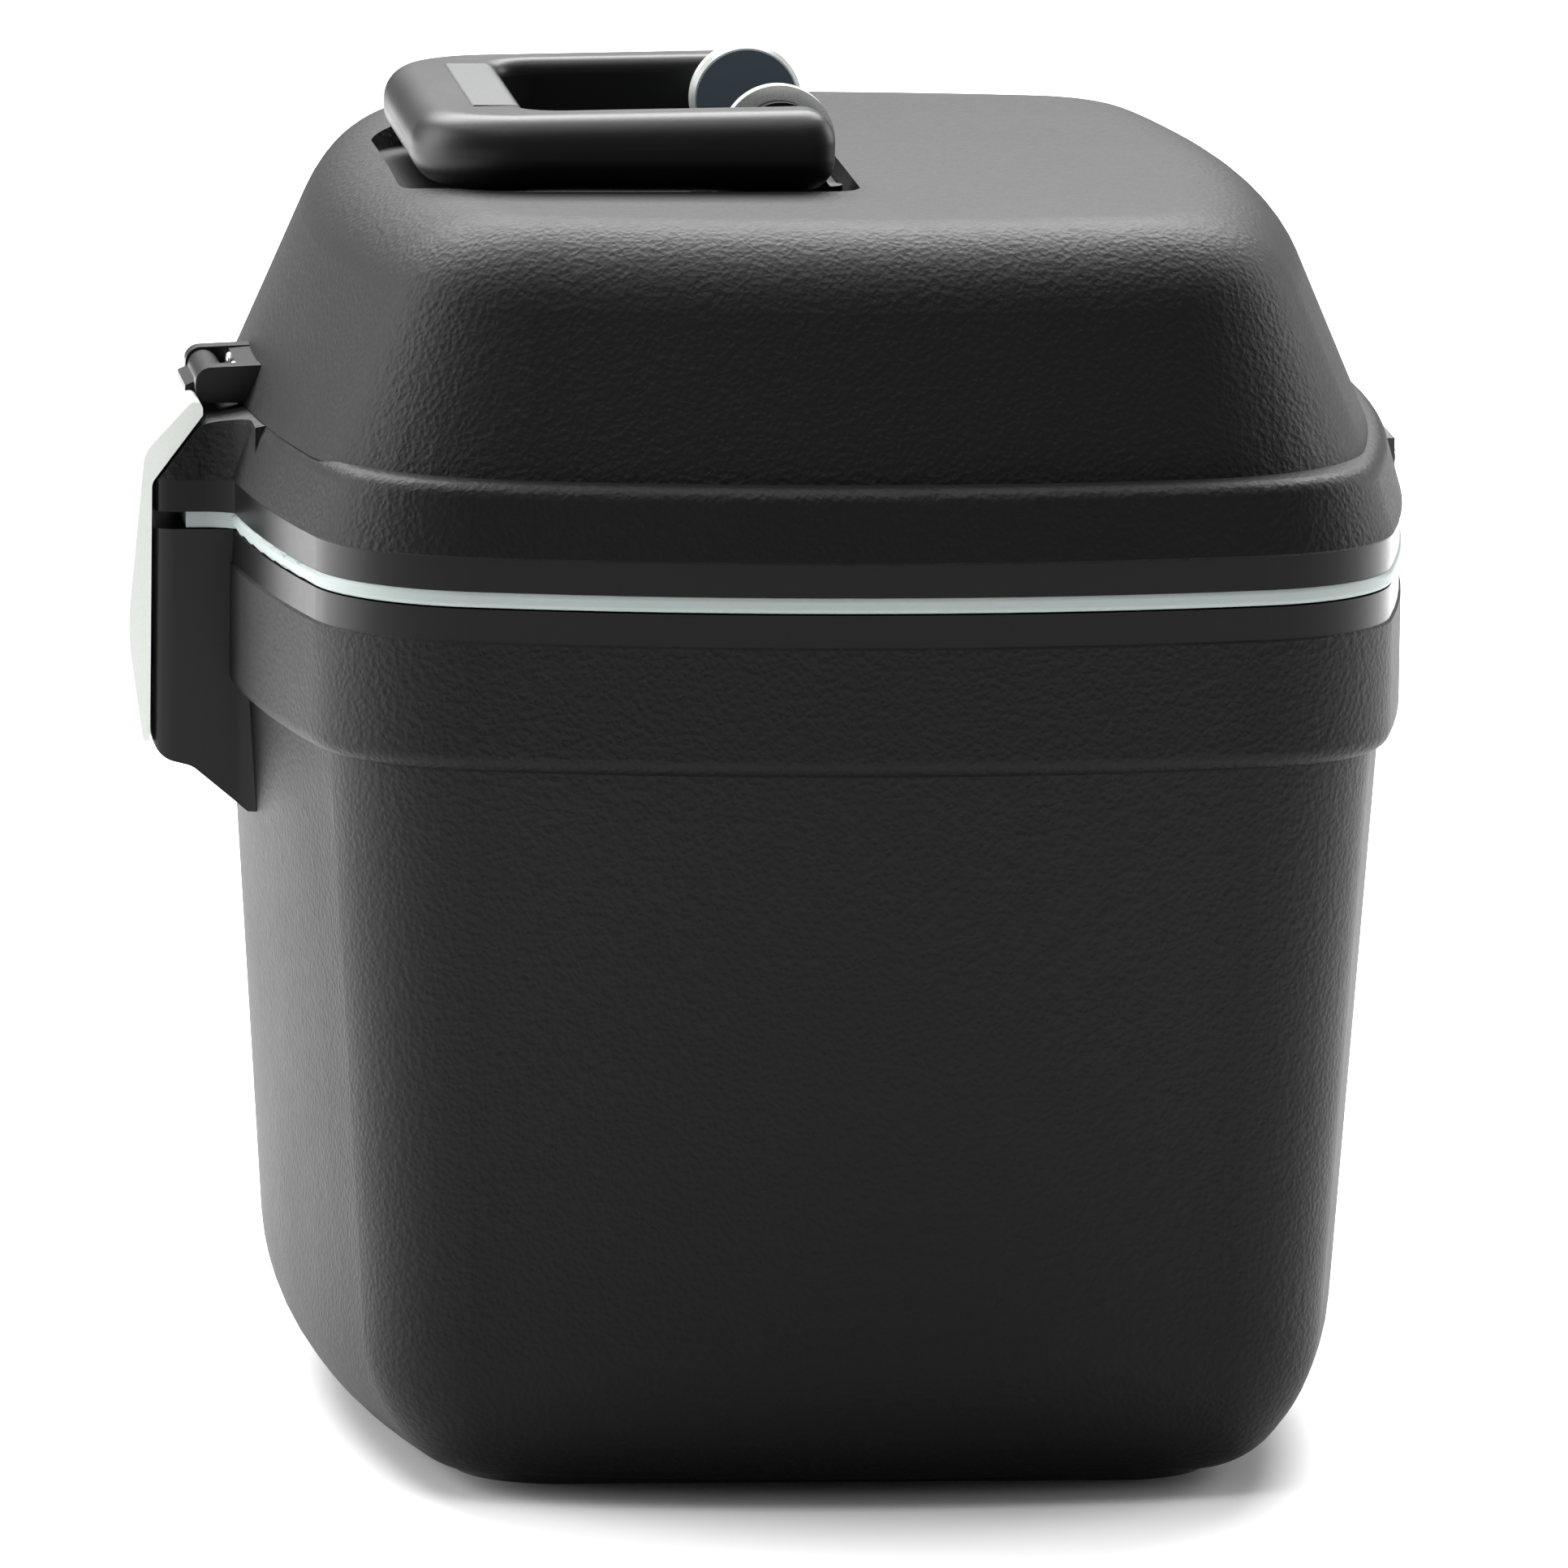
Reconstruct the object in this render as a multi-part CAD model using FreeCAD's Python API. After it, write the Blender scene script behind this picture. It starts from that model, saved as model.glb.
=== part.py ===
import FreeCAD, Part
import math
import os
from FreeCAD import Vector

# Insulated slow cooker: a vacuum vessel in a moulded casing, a hinged and latched lid with a seal all
# round, a folding carry handle, and a cooking pot with its own lid inside. Millimetres, +Z up.
# The origin is at the centre of the footprint on the floor. -Y is the front (latch), +Y the hinge.

os.makedirs("parts", exist_ok=True)

# Plan of the casing at its rim
rim_width = 368.0
rim_depth = 296.0
side_bow = 400.0
end_bow = 640.0
corner_radius = 48.0

# Casing heights above the floor, and how far its wall stands in from the rim
pad_height = 3.0
casing_height = 226.0
collar_height = 40.5
band_height = 8.0
band_inset = 0.6
collar_inset = 4.8
taper_inset = 10.9
casing_wall = 3.0
shoulder_height = 23.4
shoulder_inset = 17.4
shoulder_radius = 45.0
bottom_radius = 26.0

# Seal between casing and lid
seal_gap = 0.4
seal_height = 4.0
seal_width = 5.0

# Lid
lid_wall = 2.8
skirt_height = 26.0
skirt_inset = 5.0
ledge_radius = 5.0
dome_inset_sides = 13.0
dome_inset_front = 5.5
dome_inset_back = 9.0
dome_corner = 62.0
dome_slope = 0.43
dome_radius = 32.0
crown_z = casing_height + 89.6
lid_boss_inset = 15.0
liner_thickness = 2.4
liner_clearance = 0.4
liner_recess_radius = 96.0
liner_recess_height = 24.0
foam_clearance = 1.5

# Vacuum vessel and mouth
mouth_radius = 113.0
vessel_gap = 5.0
steel = 1.0
vessel_floor = 22.0
flange_width = 7.0
neck_plate = 3.0
neck_drop = 3.2

# Cooking pot and its lid
pot_clearance = 2.0
pot_height = 165.0
pot_corner = 18.0
pot_flange = 5.0
pot_wall = 0.8
pot_lid_rise = 9.0
ear_width = 16.0
ear_drop = 14.0
ear_thickness = 1.5
rivet_radius = 1.4
rivet_x = 4.5
rivet_drop = 9.0
bail_radius = 1.3
knob_radius = 15.0
knob_height = 14.0

# Latch
latch_half_width = 38.0
housing_front = -(rim_depth / 2 + 18.0)
housing_bottom = casing_height - 71.5
housing_chin = 14.0
strap_face = housing_front - 6.4
strap_bottom = casing_height - 54.0
strap_gap = 0.5
strap_side = 2.0
latch_pivot_y = housing_front + 15.6
latch_pivot_z = casing_height + 34.0
latch_pin_radius = 1.6
ear_radius = 4.4
ear_low = 15.0
ear_high = 22.0
ear_wall_y = -(rim_depth / 2 - dome_inset_front)
ear_seat_y = ear_wall_y - 1.5
ear_screw_x = (-8.0, 8.0)
ear_screw_z = latch_pivot_z + 1.5
bulge_front_z = casing_height + 11.0
bulge_back_z = casing_height + 26.5
hip_inset = 5.5
housing_hip_inset = 14.0
flare = 11.0
bulge_edge = 3.0
slot_back_y = housing_front + 8.0
nose_z = casing_height - 12.0
nose_depth = 1.6
nose_half_width = 12.0

# Carry handle
handle_pivot_y = -11.0
handle_pivot_z = crown_z + 8.9
handle_reach = 92.0
handle_inner = 50.0
handle_arm_width = 19.0
handle_arm_height = 20.6
handle_tail = 12.5
handle_fall = 2.0
handle_corner = 27.0
grip_depth = 29.0
bail_round = 8.5
bail_inner_round = 4.0
insert_margin = 8.0
insert_seam = 15.0
handle_pin_radius = 4.0
lug_thickness = 5.0
hub_radius = 14.2
hub_wall = 1.4
hub_depth = 6.0
well_depth = 7.3
well_margin = 3.0
tray_thickness = 1.4
base_boss_rise = 3.0
base_screw_spots = ((-36.0, -28.0), (36.0, -28.0), (-36.0, 2.0), (36.0, 2.0))

# Hinge
hinge_y = rim_depth / 2 - 0.8
hinge_z = casing_height + seal_gap + seal_height / 2
hinge_pin_radius = 1.0
hinge_half_width = 26.0
knuckle_radius = 2.2
knuckle_length = 17.0
knuckle_gap = 0.5
knuckle_count = 3
leaf_depth = 2.0
leaf_head_height = 1.4
barrel_gap = 0.4

# Fasteners and fits
running_fit = 0.05
screw_radius = 1.5
pilot_radius = 1.6
screw_hole = 1.9
head_radius = 3.2
head_height = 1.8
screw_gap = 0.4

X_AXIS = Vector(1, 0, 0)
Y_AXIS = Vector(0, 1, 0)
Z_AXIS = Vector(0, 0, 1)

half_x = rim_width / 2
half_y = rim_depth / 2
casing_bottom = pad_height
collar_bottom = casing_height - collar_height
seal_low = casing_height + seal_gap
lid_low = seal_low + seal_height
ledge_z = lid_low + skirt_height
dome_core = 50.0


def rounded_face(corners):
    """Face in the XZ plane through (x, z, radius) corners, each rounded by its own radius."""
    edges = []
    points = [Vector(x, 0, z) for x, z, radius in corners]
    last = None
    first = None
    for i, point in enumerate(points):
        radius = corners[i][2]
        if radius == 0:
            enter = leave = point
        else:
            back = (points[i - 1] - point).normalize()
            ahead = (points[(i + 1) % len(points)] - point).normalize()
            half_angle = back.getAngle(ahead) / 2
            reach = radius / math.tan(half_angle)
            enter = point + back * reach
            leave = point + ahead * reach
            middle = point + (back + ahead).normalize() * (radius / math.sin(half_angle) - radius)
        if last is None:
            first = enter
        elif last.distanceToPoint(enter) > 1e-6:
            edges.append(Part.LineSegment(last, enter).toShape())
        if radius:
            edges.append(Part.Arc(enter, middle, leave).toShape())
        last = leave
    if last.distanceToPoint(first) > 1e-6:
        edges.append(Part.LineSegment(last, first).toShape())
    return Part.Face(Part.Wire(edges))


def side_bar(corners, low_x, high_x):
    """Prism of a (y, z, radius) side profile between two X planes."""
    face = rounded_face(corners)
    face.rotate(Vector(), Z_AXIS, 90)
    face.translate(Vector(low_x, 0, 0))
    return face.extrude(Vector(high_x - low_x, 0, 0))


def plan_slab(corners, low_z, high_z):
    """Prism of an (x, y, radius) plan between two heights."""
    face = rounded_face(corners)
    face.rotate(Vector(), X_AXIS, -90)
    face.translate(Vector(0, 0, low_z))
    return face.extrude(Vector(0, 0, high_z - low_z))


def turned(corners):
    """Solid of revolution about Z of an (r, z, radius) profile."""
    return rounded_face(corners).revolve(Vector(), Z_AXIS, 360)


def rod(radius, start, end):
    """Round bar between two points."""
    along = end - start
    return Part.makeCylinder(radius, along.Length, start, along)


def box(low, high):
    size = high - low
    return Part.makeBox(size.x, size.y, size.z, low)


def screw(tip, head, thread=screw_radius, cap=head_radius, cap_height=head_height):
    """Pan-head screw from its tip to the seat of its head."""
    along = (head - tip).normalize()
    return rod(thread, tip, head).fuse(rod(cap, head, head + along * cap_height))


def group(pieces):
    """Several separate solids kept in one node."""
    return Part.makeCompound(pieces)


def save(shape, name):
    shape.exportStep("parts/" + name + ".step")


class Outline:
    """Plan of four bowed sides joined by four tangent corner arcs. An inset keeps every arc's centre."""

    def __init__(self, half_width, half_depth, corner, shift=0.0):
        side_x = half_width - side_bow
        end_y = half_depth - end_bow
        gap = math.hypot(side_x, end_y)
        reach = side_bow - corner
        along = (reach ** 2 - (end_bow - corner) ** 2 + gap ** 2) / (2 * gap)
        across = math.sqrt(reach ** 2 - along ** 2)
        corner_x = side_x - (side_x * along + end_y * across) / gap
        corner_y = (end_y * along - side_x * across) / gap
        turn_a = math.degrees(math.atan2(corner_y, corner_x - side_x))
        turn_b = math.degrees(math.atan2(corner_y - end_y, corner_x))
        self.shift = shift
        self.corner = corner
        self.corner_x = corner_x
        self.corner_y = corner_y
        self.arcs = [
            (side_x, 0, side_bow, -turn_a, turn_a),
            (corner_x, corner_y, corner, turn_a, turn_b),
            (0, end_y, end_bow, turn_b, 180 - turn_b),
            (-corner_x, corner_y, corner, 180 - turn_b, 180 - turn_a),
            (-side_x, 0, side_bow, 180 - turn_a, 180 + turn_a),
            (-corner_x, -corner_y, corner, 180 + turn_a, 180 + turn_b),
            (0, -end_y, end_bow, 180 + turn_b, 360 - turn_b),
            (corner_x, -corner_y, corner, 360 - turn_b, 360 - turn_a),
        ]

    def ring(self, corners):
        """Solid swept round the outline from an (inset, z, radius) profile."""
        pieces = []
        for x, y, bow, start, end in self.arcs:
            centre = Vector(x, y + self.shift, 0)
            face = rounded_face([(bow - inset, z, radius) for inset, z, radius in corners])
            face.rotate(Vector(), Z_AXIS, start)
            face.translate(centre)
            pieces.append(face.revolve(centre, Z_AXIS, end - start))
        return pieces[0].multiFuse(pieces[1:]).removeSplitter()

    def slab(self, inset, low, high):
        """Plain prism of the outline at one inset."""
        edges = []
        for x, y, bow, start, end in self.arcs:
            circle = Part.Circle(Vector(x, y + self.shift, low), Z_AXIS, bow - inset)
            edges.append(Part.Arc(circle, math.radians(start), math.radians(end)).toShape())
        return Part.Face(Part.Wire(edges)).extrude(Vector(0, 0, high - low))

    def plug(self, corners, core):
        """Closed solid: the swept ring of a profile whose inner edge is at the core inset, filled in."""
        heights = [z for inset, z, radius in corners if inset == core]
        return self.ring(corners).fuse(self.slab(core, min(heights), max(heights))).removeSplitter()

    def corner_points(self, inset):
        """The four points on the corner diagonals at an inset."""
        reach = (self.corner - inset) * math.sqrt(0.5)
        spots = []
        for sx, sy in ((1, 1), (-1, 1), (-1, -1), (1, -1)):
            spots.append((sx * (self.corner_x + reach), sy * (self.corner_y + reach) + self.shift))
        return spots


rim = Outline(half_x, half_y, corner_radius)
dome_shift = (dome_inset_front - dome_inset_back) / 2
dome = Outline(half_x - dome_inset_sides, half_y - (dome_inset_front + dome_inset_back) / 2, dome_corner,
               dome_shift)


# ---------------------------------------------------------------- casing

def wall_profile(offset, low, high, core):
    """Casing wall section, moved inwards by an offset, closed on the inside at the core inset."""
    shoulder_z = casing_bottom + shoulder_height
    facet = shoulder_inset / shoulder_height
    slant = math.hypot(1, facet)
    shoulder = taper_inset + collar_inset
    return [
        (offset + band_inset, high, 0),
        (offset + band_inset, high - band_height, 0),
        (offset, high - band_height - band_inset, 0),
        (offset, collar_bottom + offset, max(collar_inset - offset - 0.4, 0)),
        (offset + collar_inset, collar_bottom + offset, 0),
        (offset + shoulder, shoulder_z + offset * (slant - 1) / facet, shoulder_radius - offset),
        (shoulder + shoulder_inset + offset * (slant - facet), low, bottom_radius - offset),
        (core, low, 0),
        (core, high, 0),
    ]


casing_core = 46.5
casing_outer = rim.plug(wall_profile(0, casing_bottom, casing_height, casing_core), casing_core)
casing_inner = rim.plug(wall_profile(casing_wall, casing_bottom + casing_wall, casing_height, casing_core),
                        casing_core)

# Neck ring: the plate that closes the top of the casing round the vessel
neck_top = casing_height - neck_drop
neck_low = neck_top - neck_plate
neck_inset = casing_wall + band_inset + running_fit * 4
boss_inset = 8.0
boss_radius = 5.5
boss_length = 26.0
neck_spots = rim.corner_points(boss_inset)
vessel_radius = mouth_radius + steel * 2 + vessel_gap


def at(spot, z):
    return Vector(spot[0], spot[1], z)


# Non-slip pad under the flat base, with a screw near each corner
base_half_x = half_x - 56.0
base_half_y = half_y - 54.0
base_corner = 24.0
pad_screw_inset = 16.0
pad_spots = [(sx * (base_half_x - pad_screw_inset), sy * (base_half_y - pad_screw_inset)) for sx, sy in
             ((1, 1), (-1, 1), (-1, -1), (1, -1))]
pad_boss_radius = 6.0
pad_boss_top = 14.0
pad_head_depth = 1.0
pad_head_height = 1.4

# Latch housing screws, two pairs through the front of the casing
housing_screw_x = 26.0
housing_screw_z = (collar_bottom + 12, collar_bottom + 27)
housing_seat_y = -(half_y - casing_wall)
housing_screw_tip = -(half_y + 6.5)


# Hinge screws, two rows on the casing and two on the lid
hinge_screw_x = (-17.0, 0.0, 17.0)
bracket_screw_z = casing_height - 13
leaf_screw_z = lid_low + 10
hinge_boss_radius = 4.2
bracket_low = bracket_screw_z - 6.5
bracket_top = casing_height - 0.6
leaf_low = lid_low + 0.9
leaf_high = leaf_screw_z + 6.5
hinge_centre = Vector(0, hinge_y, hinge_z)
hinge_pocket_x = hinge_half_width + 0.3


def hinge_pocket(low, high):
    """Shallow recess for one leaf in the back of the casing or the lid."""
    return box(Vector(-hinge_pocket_x, half_y - leaf_depth, low), Vector(hinge_pocket_x, half_y + 9, high))


def hinge_rod(radius, low_x, high_x):
    return rod(radius, hinge_centre + X_AXIS * low_x, hinge_centre + X_AXIS * high_x)


barrel_room = hinge_rod(knuckle_radius + barrel_gap, -hinge_half_width - 2.2, hinge_half_width + 2.2)


def back_boss(x, z):
    """Screw boss behind a hinge leaf."""
    return rod(hinge_boss_radius, Vector(x, half_y - 14, z), Vector(x, half_y, z))


def back_pilot(x, z):
    return rod(pilot_radius, Vector(x, half_y - 12.5, z), Vector(x, half_y + 2, z))


def make_casing():
    shell = casing_outer.cut(casing_inner)
    for spot in neck_spots:
        post = rod(boss_radius, at(spot, neck_low - boss_length), at(spot, neck_low))
        shell = shell.fuse(post.common(casing_outer))
    for spot in pad_spots:
        shell = shell.fuse(rod(pad_boss_radius, at(spot, casing_bottom + 1), at(spot, pad_boss_top)))
    for spot in neck_spots:
        shell = shell.cut(rod(pilot_radius, at(spot, neck_low - boss_length + 6), at(spot, neck_low + 1)))
    for spot in pad_spots:
        shell = shell.cut(rod(pilot_radius, at(spot, casing_bottom - 1), at(spot, pad_boss_top - 1.5)))
    for x in (-housing_screw_x, housing_screw_x):
        for z in housing_screw_z:
            seat = Vector(x, housing_seat_y, z)
            shell = shell.cut(rod(screw_hole, seat - Y_AXIS * 9, seat))
            shell = shell.cut(rod(head_radius + 0.4, seat, seat + Y_AXIS * 9))
    for x in hinge_screw_x:
        shell = shell.fuse(back_boss(x, bracket_screw_z).common(casing_outer))
        shell = shell.cut(back_pilot(x, bracket_screw_z))
    return shell.cut(hinge_pocket(bracket_low - 0.3, hinge_z)).cut(barrel_room).removeSplitter()


def make_neck_ring():
    plate = rim.slab(neck_inset, neck_low, neck_top)
    plate = plate.cut(rod(vessel_radius + 0.4, Vector(0, 0, neck_low - 1), Vector(0, 0, neck_top + 1)))
    for spot in neck_spots:
        plate = plate.cut(rod(screw_hole, at(spot, neck_low - 1), at(spot, neck_top + 1)))
    return plate


def make_neck_screws():
    return group([screw(at(spot, neck_top - 14), at(spot, neck_top)) for spot in neck_spots])


def make_base_pad():
    """Flat rubber pad with a sunk hole for each screw head."""
    pad = plan_slab([(-base_half_x, -base_half_y, base_corner), (base_half_x, -base_half_y, base_corner),
                     (base_half_x, base_half_y, base_corner), (-base_half_x, base_half_y, base_corner)],
                    0, casing_bottom)
    for spot in pad_spots:
        pad = pad.cut(rod(screw_hole, at(spot, -1), at(spot, casing_bottom + 1)))
        pad = pad.cut(rod(head_radius + screw_gap, at(spot, -1), at(spot, pad_head_depth + pad_head_height)))
    return pad


def make_base_pad_screws():
    seat = pad_head_depth + pad_head_height
    return group([screw(at(spot, pad_boss_top - 3), at(spot, seat), cap_height=pad_head_height)
                  for spot in pad_spots])


# ---------------------------------------------------------------- vacuum vessel

gasket_thickness = 0.8
flange_z = neck_top + gasket_thickness
vessel_corner = 34.0
flange_radius = vessel_radius + flange_width
vessel_bed = casing_bottom + casing_wall
pad_radius = 70.0


def cup(outer, low, high, corner, wall):
    """Open round pan of even wall."""
    return turned([(0, low, 0), (outer, low, corner), (outer, high, 0), (outer - wall, high, 0),
                   (outer - wall, low + wall, corner - wall), (0, low + wall, 0)])


def collar(inner, outer, low, high):
    """Flat or tall round ring."""
    return turned([(inner, low, 0), (outer, low, 0), (outer, high, 0), (inner, high, 0)])


def make_vessel_outer():
    wall = cup(vessel_radius, vessel_floor, flange_z, vessel_corner, steel)
    return wall.cut(rod(seal_off_radius, Vector(0, 0, vessel_floor - 1), Vector(0, 0, vessel_floor + 3)))


def make_vessel_inner():
    low = vessel_floor + steel + vessel_gap
    wall = cup(mouth_radius + steel, low, flange_z + steel, vessel_corner - vessel_gap, steel)
    return wall.fuse(collar(mouth_radius + steel, flange_radius, flange_z, flange_z + steel)).removeSplitter()


seal_off_radius = 3.0


def make_seal_off_cap():
    plug = rod(seal_off_radius, Vector(0, 0, vessel_floor), Vector(0, 0, vessel_floor + steel + 1.5))
    return plug.fuse(rod(seal_off_radius * 2, Vector(0, 0, vessel_floor - 1.5), Vector(0, 0, vessel_floor)))


def make_neck_gasket():
    return collar(vessel_radius + 0.6, flange_radius, neck_top, flange_z)


def make_support_pad():
    pad = collar(seal_off_radius * 3, pad_radius, vessel_bed, vessel_floor)
    return pad


# ---------------------------------------------------------------- cooking pot

pot_radius = mouth_radius - pot_clearance
pot_low = vessel_floor + vessel_gap + steel * 2 + 0.5
pot_rim = pot_low + pot_height
bail_pivot_z = pot_rim - 9
bail_reach = pot_radius - pot_flange + 3.6


def rivet_rod(x, side, reach):
    """Rivet of one ear, from just inside the pot's wall."""
    outer = pot_radius - pot_flange
    z = bail_pivot_z - rivet_drop
    return rod(rivet_radius, Vector(x, side * (outer - pot_wall - 0.6), z), Vector(x, side * (outer + reach), z))


def pot_rivets():
    return [rivet_rod(x, side, ear_thickness + 0.9) for side in (1, -1) for x in (-rivet_x, rivet_x)]


def make_pot():
    body = cup(pot_radius - pot_flange, pot_low, pot_rim, pot_corner, pot_wall)
    lip = collar(pot_radius - pot_flange - pot_wall, pot_radius, pot_rim - pot_wall, pot_rim)
    return body.fuse(lip).cut(group(pot_rivets())).removeSplitter()


def make_pot_ears():
    """Two riveted ears that carry the bail of the pot."""
    ears = []
    outer = pot_radius - pot_flange
    for side in (1, -1):
        plate = box(Vector(-ear_width / 2, outer - 3, bail_pivot_z - ear_drop),
                    Vector(ear_width / 2, outer + ear_thickness, bail_pivot_z + 5))
        plate = plate.cut(rod(outer, Vector(0, 0, pot_low), Vector(0, 0, pot_rim)))
        plate = plate.cut(rod(bail_radius + running_fit, Vector(0, outer - 5, bail_pivot_z),
                              Vector(0, outer + 5, bail_pivot_z)))
        if side < 0:
            plate = plate.mirror(Vector(), Y_AXIS)
        ears.append(plate.cut(group(pot_rivets())))
    return group(ears)


def make_pot_rivets():
    return group(pot_rivets())


def make_pot_bail():
    """Wire bail folded down round the pot, its two ends turned in through the ears."""
    ring = Part.makeTorus(bail_reach, bail_radius, Vector(0, 0, bail_pivot_z), Z_AXIS)
    half = ring.common(box(Vector(0, -bail_reach * 2, bail_pivot_z - 9),
                           Vector(bail_reach * 2, bail_reach * 2, bail_pivot_z + 9)))
    for side in (1, -1):
        start = Vector(0, side * (pot_radius - pot_flange + 0.3), bail_pivot_z)
        half = half.fuse(rod(bail_radius, start, Vector(0, side * (bail_reach + bail_radius * 0.9), bail_pivot_z)))
    return half.removeSplitter()


def make_pot_lid():
    """Shallow domed lid: a turned-down edge inside the pot, a flat seat on its rim, a raised centre."""
    seat = pot_rim
    lip = pot_radius - pot_flange - pot_wall - 0.5
    low = turned([(0, seat + pot_lid_rise - pot_wall, 0), (lip * 0.72, seat + pot_lid_rise - pot_wall, 20),
                  (lip - pot_wall, seat, 4), (lip - pot_wall, seat - 5, 0), (lip, seat - 5, 0),
                  (lip, seat, 0), (pot_radius - 0.5, seat, 0), (pot_radius - 0.5, seat + pot_wall, 0),
                  (lip, seat + pot_wall, 3), (lip * 0.72, seat + pot_lid_rise, 20),
                  (0, seat + pot_lid_rise, 0)])
    return low.cut(rod(screw_hole, Vector(0, 0, seat), Vector(0, 0, seat + pot_lid_rise + 1)))


def make_pot_knob():
    base = pot_rim + pot_lid_rise
    knob = turned([(0, base, 0), (7.5, base, 0), (7.5, base + 5, 2), (knob_radius, base + 8, 2),
                   (knob_radius, base + knob_height, 4), (0, base + knob_height, 0)])
    return knob.cut(rod(pilot_radius, Vector(0, 0, base - 1), Vector(0, 0, base + knob_height - 4)))


def make_pot_knob_screw():
    under = pot_rim + pot_lid_rise - pot_wall
    return screw(Vector(0, 0, under + 10), Vector(0, 0, under))


# ---------------------------------------------------------------- lid

lid_core = 40.0
well_low = crown_z - well_depth
well_half_width = handle_inner + handle_arm_width + well_margin
well_front = handle_pivot_y - handle_reach - well_margin
well_back = handle_pivot_y + handle_tail + well_margin * 2
bulge_half_width = latch_half_width


def skirt_plug(offset):
    """Solid lid rim below the ledge, every wall moved inwards by the offset."""
    return rim.plug([(offset + band_inset, lid_low, 0),
                     (offset + band_inset, lid_low + band_height, 0),
                     (offset, lid_low + band_height + band_inset, 0),
                     (offset + skirt_inset, ledge_z - offset, ledge_radius),
                     (lid_core, ledge_z - offset, 0),
                     (lid_core, lid_low, 0)], lid_core)


def dome_solid(offset):
    """Domed upper part of the lid, every face moved inwards by the offset."""
    slant = offset * math.hypot(1, dome_slope)
    foot = ledge_z - offset - 1
    top = crown_z - offset
    return dome.plug([(slant + dome_slope * (foot - ledge_z), foot, 0),
                      (slant + dome_slope * (top - ledge_z), top, dome_radius - offset),
                      (dome_core, top, 0), (dome_core, foot, 0)], dome_core)


def well_slab(margin, low):
    """Prism of the shallow well under the folded handle."""
    wide = well_half_width + margin
    front = well_front - margin
    back = well_back + margin
    turn = handle_corner + well_margin + margin
    return plan_slab([(-wide, front, turn), (wide, front, turn), (wide, back, 8 + margin),
                      (-wide, back, 8 + margin)], low, crown_z + 5)


def front_plan(offset, hip_depth, low, high):
    """Plan of the latch bulge: straight front, flared into the curved rim at both sides."""
    wide = bulge_half_width - offset
    hip = -(half_y - hip_depth) + offset
    root = hip + flare
    front = housing_front + offset
    return plan_slab([(-wide - flare * 2, root, 0), (-wide - flare * 2, hip, 0), (-wide, hip, flare),
                      (-wide, front, 5), (wide, front, 5), (wide, hip, flare),
                      (wide + flare * 2, hip, 0), (wide + flare * 2, root, 0)], low, high)


def bulge_solid(offset):
    """Bulge of the lid's front over the latch, sloping forward from the wall to a short upright face."""
    top = [(-(half_y - 20), lid_low, 0), (housing_front + offset, lid_low, 0),
           (housing_front + offset, bulge_front_z - offset, bulge_edge),
           (latch_pivot_y - 4 + offset, bulge_back_z - offset * 1.4, 6),
           (-(half_y - 20), bulge_back_z + 5 - offset * 1.4, 0)]
    side = side_bar(top, -bulge_half_width - flare * 2, bulge_half_width + flare * 2)
    return side.common(front_plan(offset, hip_inset, lid_low, bulge_back_z + 10))


lid_outer = skirt_plug(0).fuse(dome_solid(0)).fuse(bulge_solid(0)).removeSplitter()
lid_inner = skirt_plug(lid_wall).fuse(dome_solid(lid_wall)).cut(well_slab(lid_wall, well_low - lid_wall))
lid_inner = lid_inner.fuse(bulge_solid(lid_wall)).removeSplitter()
lid_spots = rim.corner_points(lid_boss_inset)


def make_lid_shell():
    shell = lid_outer.cut(lid_inner).cut(well_slab(0, well_low))
    for spot in lid_spots:
        post = rod(boss_radius, at(spot, lid_low + liner_thickness), at(spot, ledge_z + 12))
        shell = shell.fuse(post.common(lid_outer))
    for x in hinge_screw_x:
        shell = shell.fuse(back_boss(x, leaf_screw_z).common(lid_outer))
    for x in ear_screw_x:
        boss = rod(hinge_boss_radius, Vector(x, ear_wall_y, ear_screw_z), Vector(x, ear_wall_y + 11, ear_screw_z))
        shell = shell.fuse(boss.common(lid_outer))
    for spot in lid_spots:
        shell = shell.cut(rod(pilot_radius, at(spot, lid_low), at(spot, ledge_z - 4)))
    for x in hinge_screw_x:
        shell = shell.cut(back_pilot(x, leaf_screw_z))
    for x in ear_screw_x:
        shell = shell.cut(rod(pilot_radius, Vector(x, ear_wall_y - 3, ear_screw_z),
                              Vector(x, ear_wall_y + 9, ear_screw_z)))
    for x, y in base_screw_spots:
        shell = shell.cut(rod(screw_hole, Vector(x, y, well_low - lid_wall - 3), Vector(x, y, well_low + 1)))
    return shell.cut(hinge_pocket(hinge_z, leaf_high + 0.3)).cut(barrel_room).removeSplitter()


def make_lid_seal():
    """Elastic band under the lid's rim, carried forward under the bulge as far as the latch slot."""
    band = rim.ring([(0, seal_low, 1.2), (0, lid_low, 1.2), (seal_width, lid_low, 0), (seal_width, seal_low, 0)])
    tongue = front_plan(band_inset, hip_inset, seal_low, lid_low)
    tongue = tongue.common(box(Vector(-half_x, slot_back_y, seal_low), Vector(half_x, -(half_y - 3), lid_low)))
    return band.fuse(tongue).cut(barrel_room).removeSplitter()


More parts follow.
